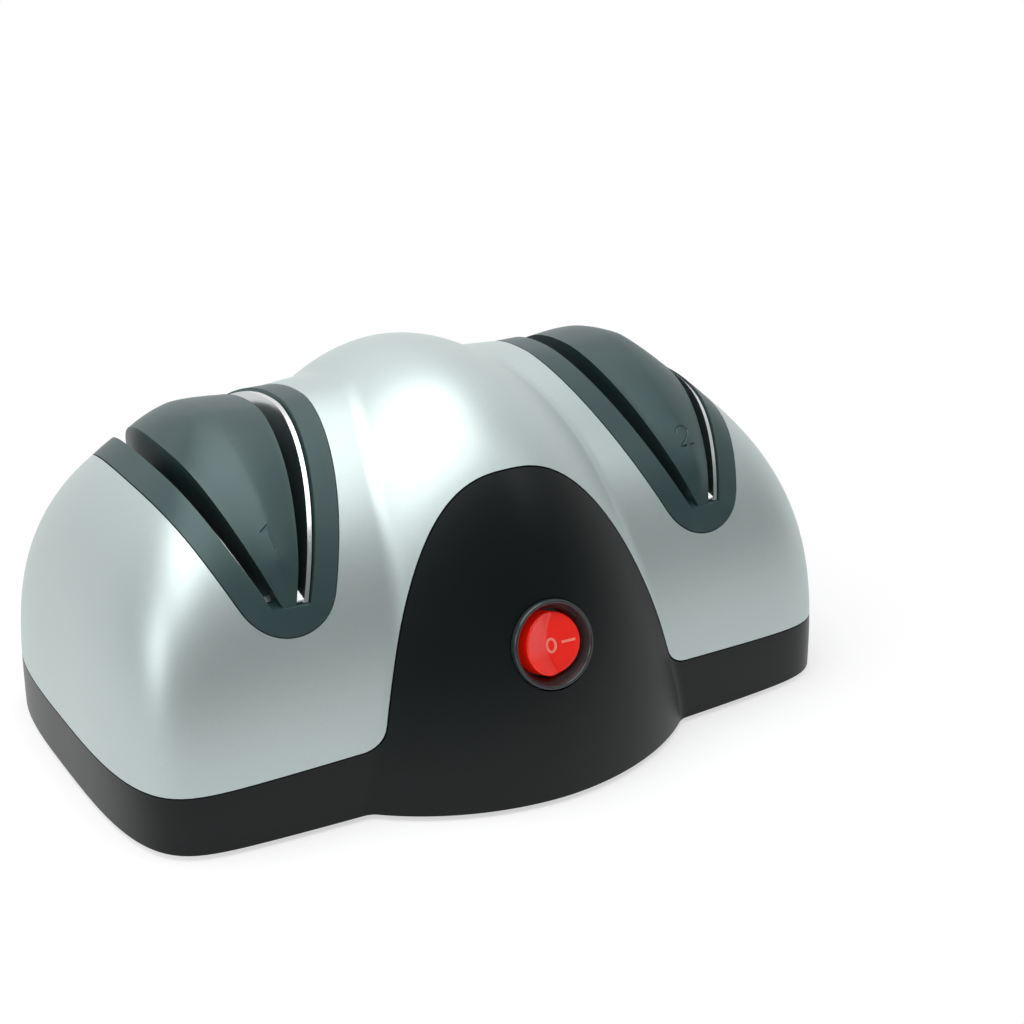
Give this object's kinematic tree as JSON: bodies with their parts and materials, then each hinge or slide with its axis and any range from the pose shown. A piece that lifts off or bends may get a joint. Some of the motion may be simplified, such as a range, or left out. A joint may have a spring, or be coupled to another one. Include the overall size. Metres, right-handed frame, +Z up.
{
  "type": "electric knife sharpener",
  "caption": "Free-standing electric knife sharpener: rounded housing with a raised middle, slanted blade slots over grinding wheels driven by a motor, and a round rocker switch.",
  "frame": {"origin": "middle of the whole footprint at the underside of the rubber feet", "axes": "+X along the sharpener from the first stage to the second, +Y to the back, +Z up"},
  "size_m": [0.2106, 0.1552, 0.0991],
  "materials": {
    "silver_shell": "moulded ABS with a satin silver paint",
    "black_abs": "black moulded ABS, smooth on the front panel",
    "grey_abs": "dark grey moulded ABS, fine matt grain",
    "bright_steel": "bright bare steel",
    "coarse_grit": "coarse abrasive in a hard bond",
    "fine_grit": "fine abrasive in a hard bond",
    "zinc_steel": "zinc plated pressed steel",
    "rotor_aluminium": "cast aluminium cage on a laminated core",
    "white_nylon": "natural nylon",
    "lamination_steel": "stacked motor laminations",
    "bare_copper": "bare copper bar",
    "wound_coil": "copper winding under a yellow tape",
    "bearing_bronze": "sintered bronze",
    "switch_black": "black moulded switch plastic",
    "rocker_red": "clear red moulded plastic, glossy",
    "terminal_brass": "plain brass",
    "black_rubber": "soft black rubber"
  },
  "bodies": {
    "housing": {"base_shell": "black_abs", "top_shell": "silver_shell", "guide_insert_1": "grey_abs", "guide_insert_2": "grey_abs", "guide_plate_1_left": "bright_steel", "guide_plate_1_right": "bright_steel", "guide_plate_2_left": "bright_steel", "guide_plate_2_right": "bright_steel", "stator_core": "lamination_steel", "shading_ring_upper": "bare_copper", "shading_ring_lower": "bare_copper", "coil_bobbin": "white_nylon", "stator_coil": "wound_coil", "bearing_bracket_left": "zinc_steel", "bearing_bracket_right": "zinc_steel", "bearing_bush_left": "bearing_bronze", "bearing_bush_right": "bearing_bronze", "mount_screw_left": "zinc_steel", "mount_screw_right": "zinc_steel", "motor_screw_upper": "zinc_steel", "motor_screw_lower": "zinc_steel", "motor_nut_upper": "zinc_steel", "motor_nut_lower": "zinc_steel", "switch_body": "switch_black", "switch_terminal_left": "terminal_brass", "switch_terminal_right": "terminal_brass", "cord_bush": "black_rubber", "foot_1": "black_rubber", "foot_2": "black_rubber", "foot_3": "black_rubber", "foot_4": "black_rubber", "case_screw_1": "zinc_steel", "case_screw_2": "zinc_steel", "case_screw_3": "zinc_steel", "case_screw_4": "zinc_steel"},
    "rotor": {"motor_shaft": "bright_steel", "rotor_core": "rotor_aluminium", "cooling_fan": "white_nylon", "grinding_wheel_1": "coarse_grit", "grinding_wheel_2": "fine_grit", "wheel_flange_1_inner": "zinc_steel", "wheel_flange_1_outer": "zinc_steel", "wheel_flange_2_inner": "zinc_steel", "wheel_flange_2_outer": "zinc_steel", "wheel_nut_1": "zinc_steel", "wheel_nut_2": "zinc_steel"},
    "rocker": {"switch_rocker": "rocker_red"}
  },
  "joints": [
    {"name": "wheel_spin", "type": "hinge", "parent": "housing", "child": "rotor", "pos_m": [0, -0.00016, 0.0435], "axis": [1, 0, 0], "continuous": true},
    {"name": "rocker_tilt", "type": "hinge", "parent": "housing", "child": "rocker", "pos_m": [0, -0.06574, 0.03975], "axis": [0, 0.2924, 0.9563], "range_deg": [-12, 0]}
  ]
}
